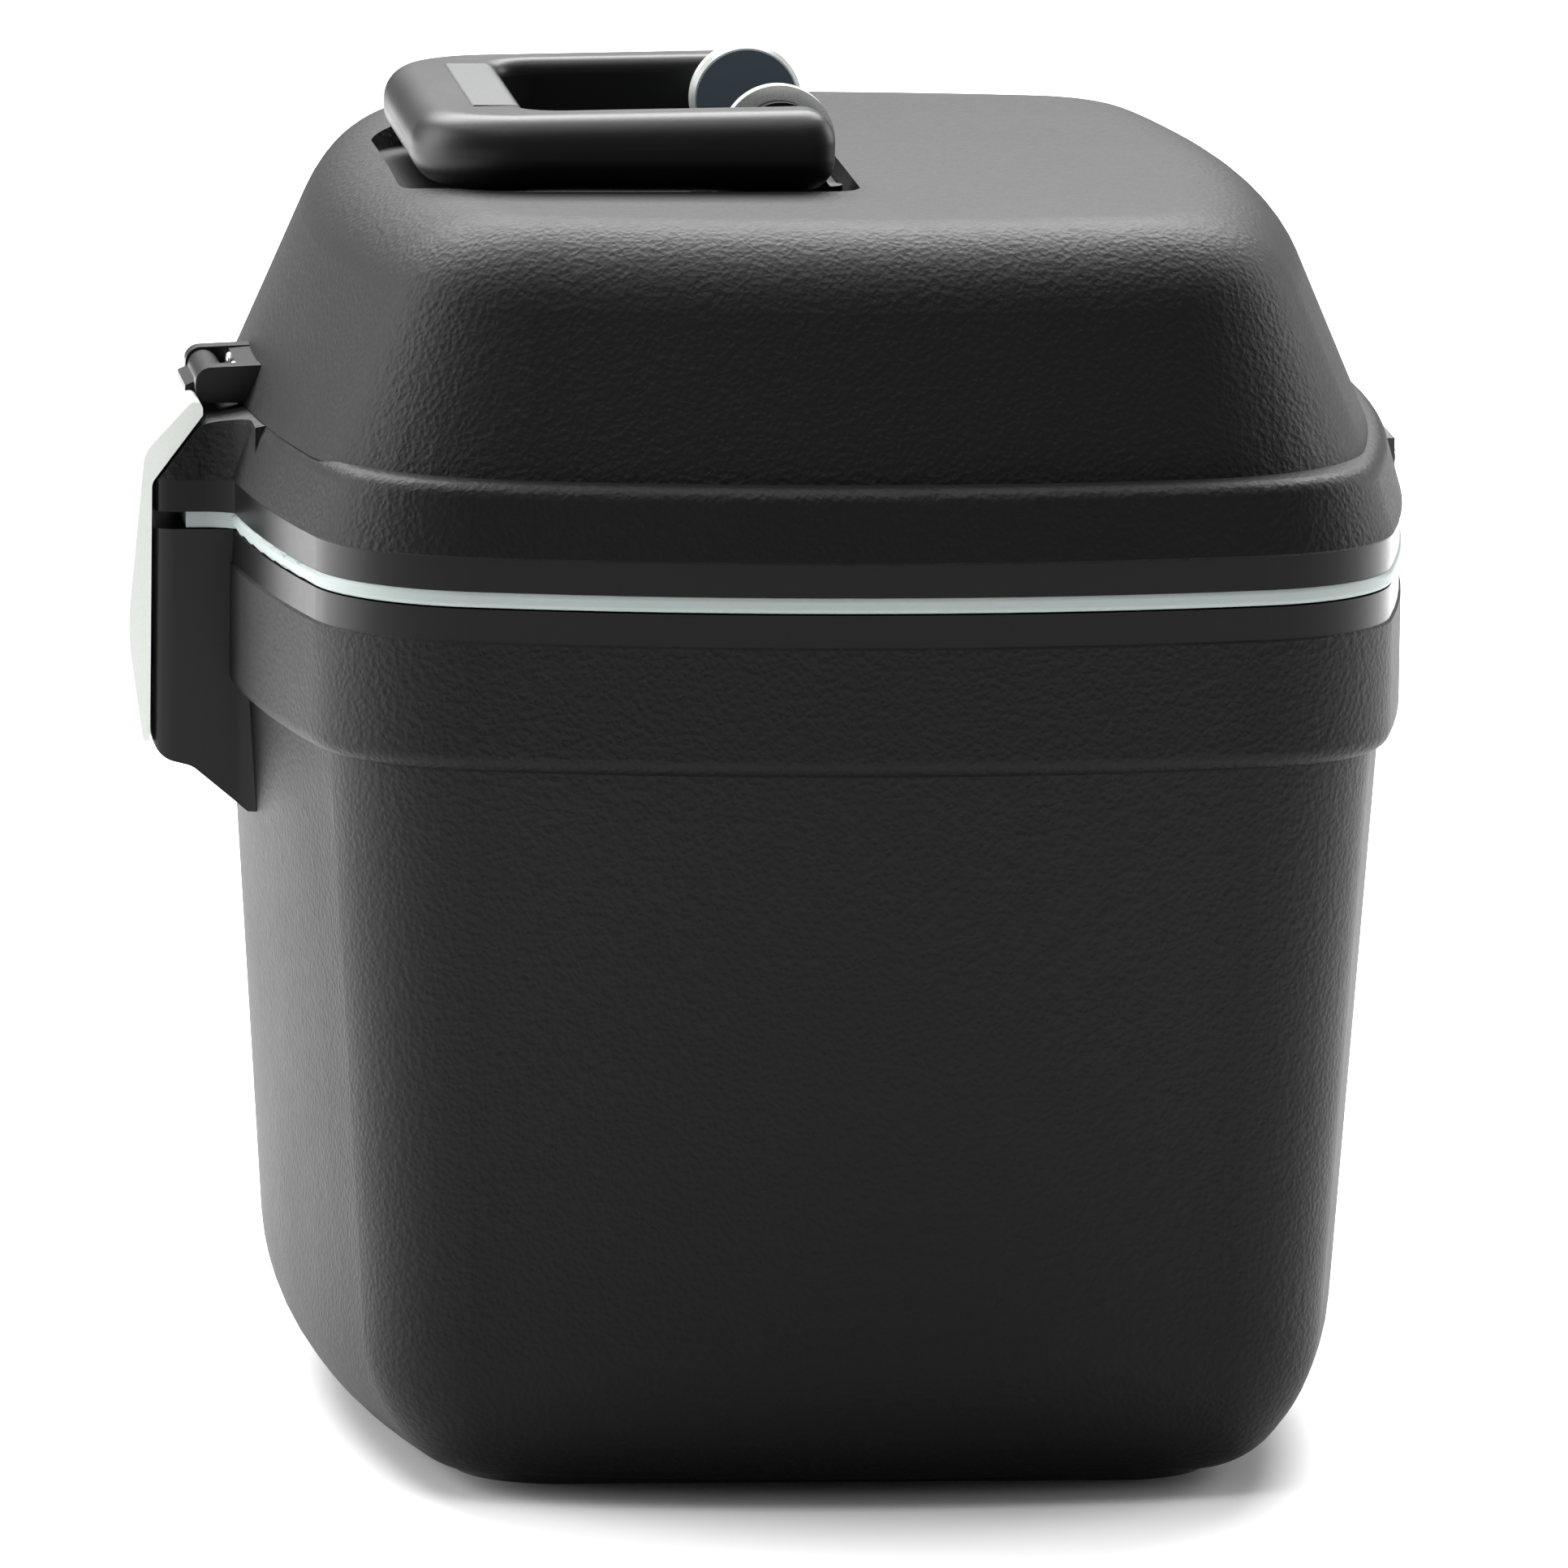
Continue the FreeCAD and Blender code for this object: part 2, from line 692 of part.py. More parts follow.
def make_liner():
    """Flat panel that closes the lid from below, with a round recess over the pot."""
    top = lid_low + liner_thickness
    roof = top + liner_recess_height
    panel = rim.slab(lid_wall + band_inset + liner_clearance, lid_low, top)
    panel = panel.cut(rod(liner_recess_radius, Vector(0, 0, lid_low - 1), Vector(0, 0, top + 1)))
    hat = turned([(0, roof - liner_thickness, 0),
                  (liner_recess_radius - 6, roof - liner_thickness, 8),
                  (liner_recess_radius, lid_low, 0),
                  (liner_recess_radius + liner_thickness, lid_low, 0),
                  (liner_recess_radius - 6 + liner_thickness, roof, 8 + liner_thickness),
                  (0, roof, 0)])
    panel = panel.fuse(hat)
    for spot in lid_spots:
        panel = panel.cut(rod(screw_hole, at(spot, lid_low - 1), at(spot, top + 1)))
    return panel.removeSplitter()


def make_liner_screws():
    return group([screw(at(spot, lid_low + 16), at(spot, lid_low)) for spot in lid_spots])


def make_foam():
    """Insulation block that fills the lid above its liner."""
    low = lid_low + liner_thickness + 0.5
    block = skirt_plug(lid_wall + foam_clearance).fuse(dome_solid(lid_wall + foam_clearance))
    block = block.cut(rim.slab(0, lid_low - 1, low))
    block = block.cut(well_slab(lid_wall + foam_clearance, well_low - lid_wall - foam_clearance - 2))
    block = block.cut(rod(liner_recess_radius + liner_thickness + 1, Vector(0, 0, low - 1),
                          Vector(0, 0, lid_low + liner_thickness + liner_recess_height + 1)))
    for spot in lid_spots:
        block = block.cut(rod(boss_radius + 1, at(spot, low - 1), at(spot, ledge_z + 13)))
    back = half_y - 15.5
    block = block.cut(box(Vector(-hinge_half_width, back, low - 1), Vector(hinge_half_width, half_y, ledge_z)))
    for x in ear_screw_x:
        block = block.cut(rod(hinge_boss_radius + 1, Vector(x, ear_wall_y - 2, ear_screw_z),
                              Vector(x, ear_wall_y + 12.5, ear_screw_z)))
    for x, y in base_screw_spots:
        block = block.cut(rod(head_radius + 1, Vector(x, y, well_low - lid_wall - 8), Vector(x, y, well_low)))
    return block.removeSplitter()


def make_mouth_seal():
    """Soft ring under the liner that closes on the vessel's flange."""
    low = flange_z + steel + seal_gap
    middle = (mouth_radius + flange_radius) / 2
    return turned([(middle - 4, lid_low, 0), (middle - 2, low, 1), (middle + 2, low, 1), (middle + 4, lid_low, 0)])


# ---------------------------------------------------------------- hinge

def knuckle_spans(first):
    """Every other knuckle of the hinge barrel, starting from the first or the second."""
    pitch = knuckle_length + knuckle_gap
    start = -(knuckle_count * pitch - knuckle_gap) / 2
    return [(start + i * pitch, start + i * pitch + knuckle_length) for i in range(first, knuckle_count, 2)]


def hinge_leaf(low, high, web_low, web_high, first, screw_z, wall, bore):
    """One leaf: a plate let into the wall, and webs up or down to its knuckles."""
    plate = box(Vector(-hinge_half_width, half_y - 8, low), Vector(hinge_half_width, half_y, high))
    leaf = plate.cut(wall.cut(hinge_pocket(low - 1, high + 1)))
    for start, end in knuckle_spans(first):
        leaf = leaf.fuse(box(Vector(start, half_y - leaf_depth, web_low), Vector(end, half_y, web_high)))
        leaf = leaf.fuse(hinge_rod(knuckle_radius, start, end))
    for x in hinge_screw_x:
        leaf = leaf.cut(rod(screw_hole, Vector(x, half_y - 9, screw_z), Vector(x, half_y + 1, screw_z)))
    return leaf.cut(hinge_rod(bore, -hinge_half_width - 9, hinge_half_width + 9)).removeSplitter()


def make_hinge_bracket():
    return hinge_leaf(bracket_low, bracket_top, bracket_top - 1, hinge_z, 0, bracket_screw_z, casing_outer,
                      hinge_pin_radius)


def make_hinge_leaf():
    return hinge_leaf(leaf_low, leaf_high, hinge_z, leaf_low + 1, 1, leaf_screw_z, lid_outer,
                      hinge_pin_radius + running_fit)


def make_hinge_pin():
    reach = knuckle_spans(0)[-1][1]
    pin = hinge_rod(hinge_pin_radius, -reach - 0.4, reach + 0.4)
    for side in (-1, 1):
        low, high = sorted((side * (reach + 0.4), side * (reach + 1.6)))
        pin = pin.fuse(hinge_rod(knuckle_radius - 0.2, low, high))
    return pin.removeSplitter()


def wall_screws(z):
    return group([screw(Vector(x, half_y - 10, z), Vector(x, half_y, z), cap_height=leaf_head_height)
                  for x in hinge_screw_x])


# ---------------------------------------------------------------- carry handle

handle_pivot = Vector(0, handle_pivot_y, handle_pivot_z)
tray_top = well_low + tray_thickness
arm_low = handle_pivot_z - handle_arm_height / 2
lug_outer = handle_inner - 0.4
lug_inner = lug_outer - lug_thickness
hub_inner = lug_inner - hub_depth


def pivot_rod(radius, low_x, high_x):
    """Round bar on the handle's axis between two distances from the middle."""
    return rod(radius, handle_pivot + X_AXIS * low_x, handle_pivot + X_AXIS * high_x)


def both_sides(piece):
    return group([piece, piece.mirror(Vector(), X_AXIS)])


def make_handle_base():
    """Smooth tray in the lid's well with the two pivot lugs, screwed from inside the lid."""
    tray = well_slab(-0.3, well_low).common(box(Vector(-200, -200, 0), Vector(200, 200, tray_top)))
    for side in (1, -1):
        lug = side_bar([(handle_pivot_y - 21, well_low, 0), (handle_pivot_y - 9, handle_pivot_z - 6, 14),
                        (handle_pivot_y - 9, handle_pivot_z + 10.5, 8.5),
                        (handle_pivot_y + 9, handle_pivot_z + 10.5, 8.5),
                        (handle_pivot_y + 9, handle_pivot_z - 6, 14),
                        (handle_pivot_y + 17, well_low, 0)], lug_inner, lug_outer)
        if side < 0:
            lug = lug.mirror(Vector(), X_AXIS)
        tray = tray.fuse(lug)
        low, high = sorted((side * (lug_inner - 6), side * (lug_outer + 1)))
        tray = tray.cut(pivot_rod(handle_pin_radius, low, high))
    for x, y in base_screw_spots:
        tray = tray.fuse(rod(4.0, Vector(x, y, tray_top), Vector(x, y, tray_top + base_boss_rise)))
    for x, y in base_screw_spots:
        tray = tray.cut(rod(pilot_radius, Vector(x, y, well_low - 1), Vector(x, y, tray_top + base_boss_rise - 1)))
    return tray.removeSplitter()


def make_base_screws():
    under = well_low - lid_wall
    return group([screw(Vector(x, y, tray_top + base_boss_rise - 1.5), Vector(x, y, under))
                  for x, y in base_screw_spots])


def make_hub_rings():
    """Bright sleeves round the two pivots, with a chamfered rim."""
    sleeve = pivot_rod(hub_radius, hub_inner + 1, lug_inner)
    cone = Part.makeCone(hub_radius - 1, hub_radius, 1, handle_pivot + X_AXIS * hub_inner, X_AXIS)
    ring = sleeve.fuse(cone).cut(pivot_rod(hub_radius - hub_wall, hub_inner - 1, lug_inner - 1.5))
    ring = ring.cut(pivot_rod(handle_pin_radius + running_fit, hub_inner - 1, lug_inner + 1))
    return both_sides(ring.removeSplitter())


def make_hub_caps():
    """Slate discs that close the sleeves."""
    cap = pivot_rod(hub_radius - hub_wall, hub_inner - 0.6, lug_inner - 1.5)
    cap = cap.cut(pivot_rod(handle_pin_radius + 1.6, hub_inner + 1.4, lug_inner))
    return both_sides(cap)


def make_handle_pins():
    """Headed pins, put in from the middle through lug and arm."""
    pin = pivot_rod(handle_pin_radius, lug_inner - 1.5, handle_inner + handle_arm_width - 4)
    head = pivot_rod(handle_pin_radius + 1.4, lug_inner - 1.5 - 1.6, lug_inner - 1.5)
    return both_sides(pin.fuse(head).removeSplitter())


def make_bail():
    """U-shaped bail: two arms and a grip in one moulding, rounded all along its outside and its inside."""
    wide = handle_inner + handle_arm_width
    front = handle_pivot_y - handle_reach
    tail = handle_pivot_y + handle_tail
    high = handle_pivot_z + handle_arm_height / 2
    body = side_bar([(front, arm_low, 0), (tail, arm_low, 8), (tail, high, 8), (front, high - handle_fall, 0)],
                    -wide, wide)
    plan = plan_slab([(-wide, front, handle_corner), (wide, front, handle_corner), (wide, tail + 9, 0),
                      (-wide, tail + 9, 0)], arm_low - 5, high + 5)
    gap = plan_slab([(-handle_inner, front + grip_depth, 9), (handle_inner, front + grip_depth, 9),
                     (handle_inner, tail + 9, 0), (-handle_inner, tail + 9, 0)], arm_low - 6, high + 6)
    body = body.common(plan)
    body = body.makeFillet(bail_round, wall_edges(body, plan))
    body = body.cut(gap)
    body = body.makeFillet(bail_inner_round, wall_edges(body, gap))
    body = body.cut(insert_solid(0))
    reach = handle_inner + handle_arm_width - 3.6
    for low, high_x in ((handle_inner - 1, reach), (-reach, -handle_inner + 1)):
        body = body.cut(pivot_rod(handle_pin_radius + running_fit, low, high_x))
    return body.removeSplitter()


def wall_edges(body, prism):
    """Level edges of a body that lie on the walls of a prism."""
    walls = [face for face in prism.Faces if abs(face.normalAt(0.5, 0.5).z) < 0.5]
    walls = Part.makeCompound(walls)
    edges = []
    for edge in body.Edges:
        first, last = edge.FirstParameter, edge.LastParameter
        spots = [edge.valueAt(first + (last - first) * step) for step in (0.2, 0.5, 0.8)]
        upright = abs(spots[0].z - spots[2].z) > 0.9 * spots[0].distanceToPoint(spots[2])
        on_wall = all(walls.distToShape(Part.Vertex(spot))[0] < 1e-3 for spot in spots)
        if on_wall and not upright:
            edges.append(edge)
    return edges


def insert_solid(gap):
    """Soft panel let into the inside of the grip."""
    front = handle_pivot_y - handle_reach
    wide = handle_inner - insert_margin - gap
    back = front + grip_depth - 0.8
    seam = front + insert_seam + gap
    high = handle_pivot_z + handle_arm_height / 2 - handle_fall + 0.6
    panel = side_bar([(seam, arm_low + 3 + gap, 1), (back, arm_low + 3 + gap, 3), (back, high, 3),
                      (seam, high, 1)], -wide, wide)
    return panel


def make_grip_insert():
    return insert_solid(0.15)


# ---------------------------------------------------------------- latch

latch_pivot = Vector(0, latch_pivot_y, latch_pivot_z)
strap_back_y = latch_pivot_y - 3.5
knuckle_reach = 4.0


def latch_rod(radius, low_x, high_x):
    return rod(radius, latch_pivot + X_AXIS * low_x, latch_pivot + X_AXIS * high_x)


def make_latch_housing():
    """Block on the front of the casing that the strap closes over."""
    root = -(half_y - 30)
    side = side_bar([(root, casing_height, 0), (housing_front, casing_height, 1),
                     (housing_front, housing_bottom + housing_chin, 7),
                     (housing_front + 10, housing_bottom + housing_chin - 2.5, 6),
                     (-(half_y - 6), housing_bottom, 0), (root, housing_bottom, 0)],
                    -bulge_half_width - flare * 2, bulge_half_width + flare * 2)
    block = side.common(front_plan(0, housing_hip_inset, housing_bottom, casing_height)).cut(casing_outer)
    hollow = side_bar([(root, casing_height - 3, 0), (housing_front + 3, casing_height - 3, 0),
                       (housing_front + 3, housing_bottom + housing_chin + 2, 3), (-(half_y - 2), housing_bottom + 6, 0),
                       (root, housing_bottom + 6, 0)], -bulge_half_width + 3, bulge_half_width - 3)
    block = block.cut(hollow)
    for x in (-housing_screw_x, housing_screw_x):
        for z in housing_screw_z:
            start = Vector(x, housing_front + 1, z)
            post = rod(hinge_boss_radius, start, Vector(x, -(half_y - 3), z)).cut(casing_outer)
            block = block.fuse(post)
            block = block.cut(rod(pilot_radius, Vector(x, housing_screw_tip - 1, z), Vector(x, -(half_y - 6), z)))
    slot = box(Vector(-nose_half_width - 1, housing_front - 1, nose_z - 3.2),
               Vector(nose_half_width + 1, housing_front + nose_depth + 0.8, nose_z + 4.2))
    return block.cut(slot).removeSplitter()


def make_housing_screws():
    screws = []
    for x in (-housing_screw_x, housing_screw_x):
        for z in housing_screw_z:
            screws.append(screw(Vector(x, housing_screw_tip, z), Vector(x, housing_seat_y, z)))
    return group(screws)


def strap_inside(low):
    """Inside line of the strap, one gap away from the housing and from the bulge above it."""
    inner = housing_front - strap_gap
    return [(inner, low, 0), (inner, bulge_front_z + 0.4, bulge_edge + strap_gap),
            (strap_back_y, bulge_back_z + strap_gap + 1.4, 0)]


def lever_core():
    """Lever before its pin hole: a blade behind the cover, the knuckle on the pin and the hook."""
    wide = ear_low - strap_gap
    inner = housing_front - strap_gap
    blade = side_bar(strap_inside(strap_bottom + 4) +
                     [(strap_back_y, latch_pivot_z - 1, 0), (inner - 1.0, latch_pivot_z - 17.5, 6),
                      (inner - 1.0, strap_bottom + 4, 0)], -wide, wide)
    knuckle = latch_rod(knuckle_reach, -wide, wide)
    arm = side_bar([(strap_back_y - 3, latch_pivot_z - 5.5, 0), (latch_pivot_y, latch_pivot_z - 4, 0),
                    (latch_pivot_y, latch_pivot_z + 2, 0), (strap_back_y - 3, latch_pivot_z - 1, 0)],
                   -wide, wide)
    hook = side_bar([(inner - 0.5, nose_z - 2, 0), (housing_front + nose_depth, nose_z, 0.8),
                     (housing_front + nose_depth, nose_z + 1.4, 0.5), (inner - 0.5, nose_z + 3, 0)],
                    -nose_half_width, nose_half_width)
    return blade.fuse(knuckle).fuse(arm).fuse(hook)


def make_latch_face():
    """Pale cover: the whole outside of the strap, a wedge over the bulge and a thin bowed blade below."""
    wide = latch_half_width - strap_side
    inner = housing_front - strap_gap
    shell = side_bar(strap_inside(strap_bottom) +
                     [(strap_back_y, latch_pivot_z + 1.0, 2), (inner - 2.0, latch_pivot_z - 15, 9),
                      (strap_face, strap_bottom + 28, 60), (inner - 1.8, strap_bottom, 1)], -wide, wide)
    shell = shell.cut(lever_core())
    reach = ear_high + strap_gap
    shell = shell.cut(latch_rod(ear_radius + strap_gap, -reach, reach))
    return shell.removeSplitter()


def make_latch_lever():
    reach = latch_half_width
    return lever_core().cut(latch_rod(latch_pin_radius + running_fit, -reach, reach)).removeSplitter()


def make_latch_ears():
    """Black block on the lid that carries the latch pin between two ears."""
    wall = ear_wall_y + 9
    ears = []
    profile = [(latch_pivot_y - ear_radius, latch_pivot_z - ear_radius, ear_radius - 0.4),
               (wall, latch_pivot_z - ear_radius, 0), (wall, latch_pivot_z + ear_radius + 1, 0),
               (latch_pivot_y - ear_radius, latch_pivot_z + ear_radius, ear_radius - 0.4)]
    body = side_bar([(ear_wall_y - 1.5, latch_pivot_z - ear_radius, 0), (wall, latch_pivot_z - ear_radius, 0),
                     (wall, latch_pivot_z + ear_radius + 1, 0), (ear_wall_y - 1.5, latch_pivot_z + ear_radius, 0)],
                    -ear_high, ear_high)
    for low, high in ((ear_low, ear_high), (-ear_high, -ear_low)):
        body = body.fuse(side_bar(profile, low, high))
    body = body.cut(lid_outer)
    for low, high in ((ear_low - 1, ear_high - 2), (-ear_high + 2, -ear_low + 1)):
        body = body.cut(latch_rod(latch_pin_radius, low, high))
    for x in ear_screw_x:
        body = body.cut(rod(screw_hole, Vector(x, ear_wall_y - 8, ear_screw_z), Vector(x, ear_wall_y + 6, ear_screw_z)))
        body = body.cut(rod(head_radius + 0.3, Vector(x, ear_wall_y - 8, ear_screw_z), Vector(x, ear_seat_y, ear_screw_z)))
    return body.removeSplitter()


def make_ear_screws():
    return group([screw(Vector(x, ear_wall_y + 7, ear_screw_z), Vector(x, ear_seat_y, ear_screw_z),
                        cap=head_radius - 0.4, cap_height=1.2) for x in ear_screw_x])


def make_latch_pin():
    return latch_rod(latch_pin_radius, -ear_high + 2, ear_high - 2)


# ---------------------------------------------------------------- output

nodes = {
    "outer_casing": make_casing,
    "neck_ring": make_neck_ring,
    "neck_ring_screws": make_neck_screws,
    "base_pad": make_base_pad,
    "base_pad_screws": make_base_pad_screws,
    "vessel_outer_wall": make_vessel_outer,
    "vessel_inner_wall": make_vessel_inner,
    "vessel_seal_off_cap": make_seal_off_cap,
    "vessel_neck_gasket": make_neck_gasket,
    "vessel_support_pad": make_support_pad,
    "cooking_pot": make_pot,
    "pot_ears": make_pot_ears,
    "pot_rivets": make_pot_rivets,
    "pot_bail": make_pot_bail,
    "pot_lid": make_pot_lid,
    "pot_lid_knob": make_pot_knob,
    "pot_lid_knob_screw": make_pot_knob_screw,
    "lid_shell": make_lid_shell,
    "lid_seal": make_lid_seal,
    "lid_liner": make_liner,
    "lid_liner_screws": make_liner_screws,
    "lid_insulation": make_foam,
    "mouth_seal": make_mouth_seal,
    "hinge_bracket": make_hinge_bracket,
    "hinge_leaf": make_hinge_leaf,
    "hinge_pin": make_hinge_pin,
    "hinge_bracket_screws": lambda: wall_screws(bracket_screw_z),
    "hinge_leaf_screws": lambda: wall_screws(leaf_screw_z),
    "handle_base": make_handle_base,
    "handle_base_screws": make_base_screws,
    "pivot_rings": make_hub_rings,
    "pivot_caps": make_hub_caps,
    "handle_pins": make_handle_pins,
    "carry_handle": make_bail,
    "grip_insert": make_grip_insert,
    "latch_housing": make_latch_housing,
    "latch_housing_screws": make_housing_screws,
    "latch_face": make_latch_face,
    "latch_lever": make_latch_lever,
    "latch_ears": make_latch_ears,
    "latch_ear_screws": make_ear_screws,
    "latch_pin": make_latch_pin,
}

for name, make in nodes.items():
    save(make(), name)
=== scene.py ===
import math

import bmesh
import bpy
from mathutils import Matrix, Vector


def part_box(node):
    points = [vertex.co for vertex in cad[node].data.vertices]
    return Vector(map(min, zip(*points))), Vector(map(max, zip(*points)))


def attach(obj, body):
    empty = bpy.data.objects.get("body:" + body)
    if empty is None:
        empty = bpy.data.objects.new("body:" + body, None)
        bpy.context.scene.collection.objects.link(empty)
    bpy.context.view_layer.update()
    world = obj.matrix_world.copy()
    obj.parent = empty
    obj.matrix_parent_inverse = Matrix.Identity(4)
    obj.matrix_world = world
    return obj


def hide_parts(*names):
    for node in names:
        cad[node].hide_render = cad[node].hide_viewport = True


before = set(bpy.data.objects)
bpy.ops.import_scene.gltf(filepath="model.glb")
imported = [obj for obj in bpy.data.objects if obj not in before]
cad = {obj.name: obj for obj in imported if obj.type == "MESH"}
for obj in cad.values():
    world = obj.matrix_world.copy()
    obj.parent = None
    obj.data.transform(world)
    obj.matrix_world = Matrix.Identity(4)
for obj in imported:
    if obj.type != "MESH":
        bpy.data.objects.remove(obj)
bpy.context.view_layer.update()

# ---------------------------------------------------------------- casing and lid mouldings
# The outer casing and the lid shell are injection moulded in black polypropylene from grained
# tools. The tools were left smooth in a narrow band on each side of the seal, where the parts meet.


class Wire:
    """A socket of a finish. Sums, products and comparisons of wires lay down Math nodes."""

    def __init__(self, finish, socket):
        self.finish = finish
        self.socket = socket

    def math(self, operation, first, second):
        return self.finish.node("ShaderNodeMath", {"operation": operation}, {0: first, 1: second})

    def __add__(self, other):
        return self.math("ADD", self, other)

    def __radd__(self, other):
        return self.math("ADD", other, self)

    def __sub__(self, other):
        return self.math("SUBTRACT", self, other)

    def __rsub__(self, other):
        return self.math("SUBTRACT", other, self)

    def __mul__(self, other):
        return self.math("MULTIPLY", self, other)

    def __rmul__(self, other):
        return self.math("MULTIPLY", other, self)

    def __gt__(self, other):
        return self.math("GREATER_THAN", self, other)

    def __lt__(self, other):
        return self.math("LESS_THAN", self, other)


class Finish:
    """A surface finish: one Principled shader, and one method that adds any other node to it."""

    def __init__(self, name, **constants):
        self.material = bpy.data.materials.new(name)
        self.material.use_nodes = True
        self.tree = self.material.node_tree
        self.shader = self.tree.nodes["Principled BSDF"]
        for socket, value in constants.items():
            self.shader.inputs[socket.replace("_", " ")].default_value = value

    def node(self, kind, settings=None, sockets=None, output=0):
        made = self.tree.nodes.new(kind)
        for key, value in (settings or {}).items():
            if key == "stops":
                for i, (place, colour) in enumerate(value):
                    stop = made.color_ramp.elements[i] if i < 2 else made.color_ramp.elements.new(place)
                    stop.position = place
                    stop.color = colour
            else:
                setattr(made, key, value)
        for key, value in (sockets or {}).items():
            if isinstance(value, Wire):
                self.tree.links.new(value.socket, made.inputs[key])
            else:
                made.inputs[key].default_value = value
        return Wire(self, made.outputs[output])

    def feed(self, socket, wire):
        self.tree.links.new(wire.socket, self.shader.inputs[socket])

    def place(self):
        return self.node("ShaderNodeTexCoord", output="Object")

    def noise(self, where, scale, detail=2.0, rough=0.5, distortion=0.0):
        return self.node("ShaderNodeTexNoise", {}, {"Vector": where, "Scale": scale, "Detail": detail,
                                                    "Roughness": rough, "Distortion": distortion})

    def blend(self, factor, first, second):
        return self.node("ShaderNodeMix", {"data_type": "RGBA"}, {0: factor, 6: first, 7: second}, 2)

    def bump(self, height, distance, strength=1.0):
        self.feed("Normal", self.node("ShaderNodeBump", {}, {"Height": height, "Distance": distance,
                                                             "Strength": strength}))

    def coat_nodes(self, *names):
        for name in names:
            mesh = cad[name].data
            mesh.materials.clear()
            mesh.materials.append(self.material)


def grained_plastic(name, band_low, band_high):
    """Black plastic with a fine leather grain, smooth and glossier between two heights."""
    finish = Finish(name, Specular_IOR_Level=0.15)
    where = finish.place()
    height = finish.node("ShaderNodeSeparateXYZ", {}, {0: where}, 2)
    grain = 1 - (height > band_low) * (height < band_high)
    bend = finish.noise(where, 260.0, 2.0)
    bent = finish.node("ShaderNodeVectorMath", {"operation": "MULTIPLY_ADD"},
                       {0: finish.node("ShaderNodeTexNoise", {}, {"Vector": where, "Scale": 320.0}, 1),
                        1: (0.0016, 0.0016, 0.0011), 2: where})
    cells = finish.node("ShaderNodeTexVoronoi", {"feature": "SMOOTH_F1"},
                        {"Vector": bent, "Scale": 620.0, "Smoothness": 0.35})
    creases = finish.noise(bent, 1250.0, 3.0, 0.6)
    finish.bump(grain * (cells * 0.75 + creases * 0.45), 0.00032, 0.85)
    mottle = finish.noise(where, 14.0, 4.0, 0.6)
    finish.feed("Roughness", 0.30 + grain * 0.24 + (mottle - 0.5) * 0.10 + (bend - 0.5) * 0.06)
    # Base colour: a random mottle in the plastic, plus painted shade that darkens the grain's dimples,
    # because the cells also set the bump.
    finish.feed("Base Color", finish.blend(mottle * 0.6 + cells * 0.3, (0.0018, 0.0018, 0.0019, 1),
                                           (0.0042, 0.0042, 0.0043, 1)))
    return finish


band = 0.008
casing_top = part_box("outer_casing")[1].z
lid_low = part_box("lid_shell")[0].z
grained_plastic("grained_casing", casing_top - band, casing_top + 0.001).coat_nodes("outer_casing")
grained_plastic("grained_lid", lid_low - 0.001, lid_low + band).coat_nodes("lid_shell")

# ---------------------------------------------------------------- seal between lid and casing
# A soft grey elastomer band, moulded on to the lid's lower edge. Its skin is satin, with the faint
# streaks of an extruded profile along it.


def soft_rubber(name, dark, light, roughness, grain_scale, depth):
    finish = Finish(name, Specular_IOR_Level=0.4)
    where = finish.place()
    streaks = finish.node("ShaderNodeMapping", {}, {"Vector": where, "Scale": (60.0, 60.0, 1400.0)})
    fine = finish.noise(streaks, 1.0, 3.0, 0.6)
    cloud = finish.noise(where, 22.0, 3.0)
    finish.feed("Base Color", finish.blend(fine * 0.5 + cloud * 0.5, dark, light))
    finish.feed("Roughness", roughness + (cloud - 0.5) * 0.12)
    finish.bump(finish.noise(where, grain_scale, 2.0) + fine * 0.4, depth, 0.6)
    return finish


seal_rubber = soft_rubber("seal_rubber", (0.235, 0.275, 0.270, 1), (0.300, 0.340, 0.335, 1), 0.46, 2600.0,
                          0.00006)
seal_rubber.coat_nodes("lid_seal")

# ---------------------------------------------------------------- carry handle and its base
# A one-piece bail in smooth black plastic, and the tray with two lugs that carries it. Both come
# from polished tools, so they are satin with only a faint orange peel.


def smooth_plastic(name, dark, light, roughness, specular=0.2):
    finish = Finish(name, Specular_IOR_Level=specular)
    where = finish.place()
    peel = finish.noise(where, 420.0, 2.0, 0.5)
    cloud = finish.noise(where, 30.0, 4.0, 0.6)
    stretched = finish.node("ShaderNodeMapping", {}, {"Vector": where, "Scale": (90.0, 900.0, 260.0)})
    scuff = finish.noise(stretched, 1.0, 4.0, 0.7)
    finish.feed("Base Color", finish.blend(cloud, dark, light))
    finish.feed("Roughness", roughness + (cloud - 0.5) * 0.10 + (scuff - 0.5) * 0.06)
    finish.bump(peel + scuff * 0.15, 0.00004, 0.5)
    return finish


handle_black = smooth_plastic("handle_plastic", (0.0038, 0.0038, 0.0040, 1), (0.0080, 0.0080, 0.0084, 1),
                              0.42)
handle_black.coat_nodes("carry_handle")
base_black = smooth_plastic("base_plastic", (0.0034, 0.0034, 0.0036, 1), (0.0070, 0.0070, 0.0074, 1), 0.44)
base_black.coat_nodes("handle_base")

# ---------------------------------------------------------------- grip insert
# A softer, dark grey panel pushed into the inside of the grip, with a fine matt pebble.

